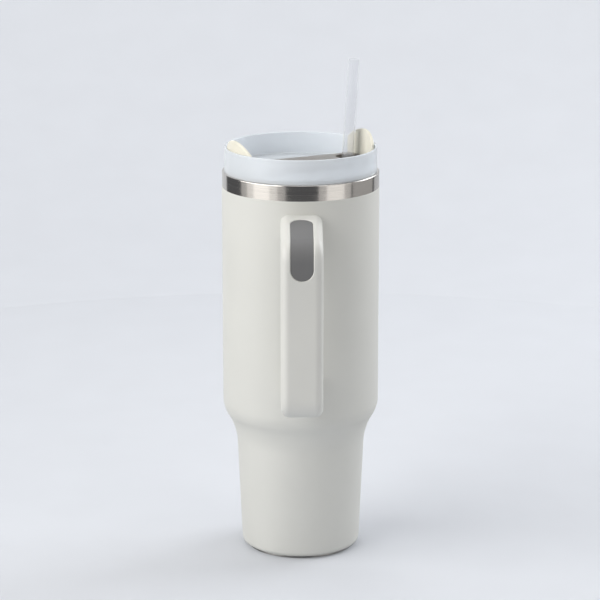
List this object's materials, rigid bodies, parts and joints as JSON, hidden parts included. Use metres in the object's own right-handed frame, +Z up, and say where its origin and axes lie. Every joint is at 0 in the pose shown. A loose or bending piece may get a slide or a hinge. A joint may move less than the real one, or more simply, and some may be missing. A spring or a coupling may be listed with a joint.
{
  "type": "insulated tumbler",
  "caption": "Tall double-wall steel tumbler with a stepped-in foot, a side handle with a soft thumb pad, a translucent lid with a rotating eared cover, and a drinking straw.",
  "frame": {"origin": "centre of the base, on the plane that the tumbler stands on", "axes": "+Z up along the vessel's axis, -Y towards the handle, +X to the right of someone who faces the handle"},
  "size_m": [0.099, 0.148, 0.3122],
  "materials": {
    "cream_paint": "satin powder coat",
    "band_steel": "brushed round the band",
    "liner_steel": "electropolished, fine brushed",
    "cap_steel": "spun",
    "bracket_steel": "bare",
    "cream_plastic": "satin moulded",
    "grey_rubber": "soft-touch matte",
    "screw_steel": "zinc plated",
    "clear_lid": "frosted translucent, gloss outside",
    "white_silicone": "matte silicone",
    "cover_plastic": "satin moulded",
    "clear_straw": "clear frosted plastic"
  },
  "bodies": {
    "vessel": {"outer_shell": "cream_paint", "rim_band": "band_steel", "inner_liner": "liner_steel", "liner_base": "liner_steel", "outer_base": "liner_steel", "base_cap": "cap_steel", "vacuum_seal": "bracket_steel", "getter": "bracket_steel", "upper_bracket": "bracket_steel", "lower_bracket": "bracket_steel", "handle_shell": "cream_plastic", "handle_inner": "cream_plastic", "thumb_pad": "grey_rubber", "finger_grip": "grey_rubber", "handle_screws": "screw_steel"},
    "lid": {"lid_body": "clear_lid", "lid_seal": "white_silicone", "pivot_gasket": "white_silicone"},
    "cover": {"rotating_cover": "cover_plastic", "sip_seal": "white_silicone", "pivot_washer": "cream_plastic", "pivot_screw": "screw_steel"},
    "straw": {"straw": "clear_straw"}
  },
  "joints": [
    {"name": "lid_lift", "type": "slide", "parent": "vessel", "child": "lid", "axis": [0, 0, 1], "range_m": [0, 0.25]},
    {"name": "cover_turn", "type": "hinge", "parent": "lid", "child": "cover", "pos_m": [0, 0, 0.2471], "axis": [0, 0, 1], "range_deg": [0, 150]},
    {"name": "straw_slide", "type": "slide", "parent": "lid", "child": "straw", "axis": [0.0558, 0, 0.9984], "range_m": [0, 0.24]}
  ]
}
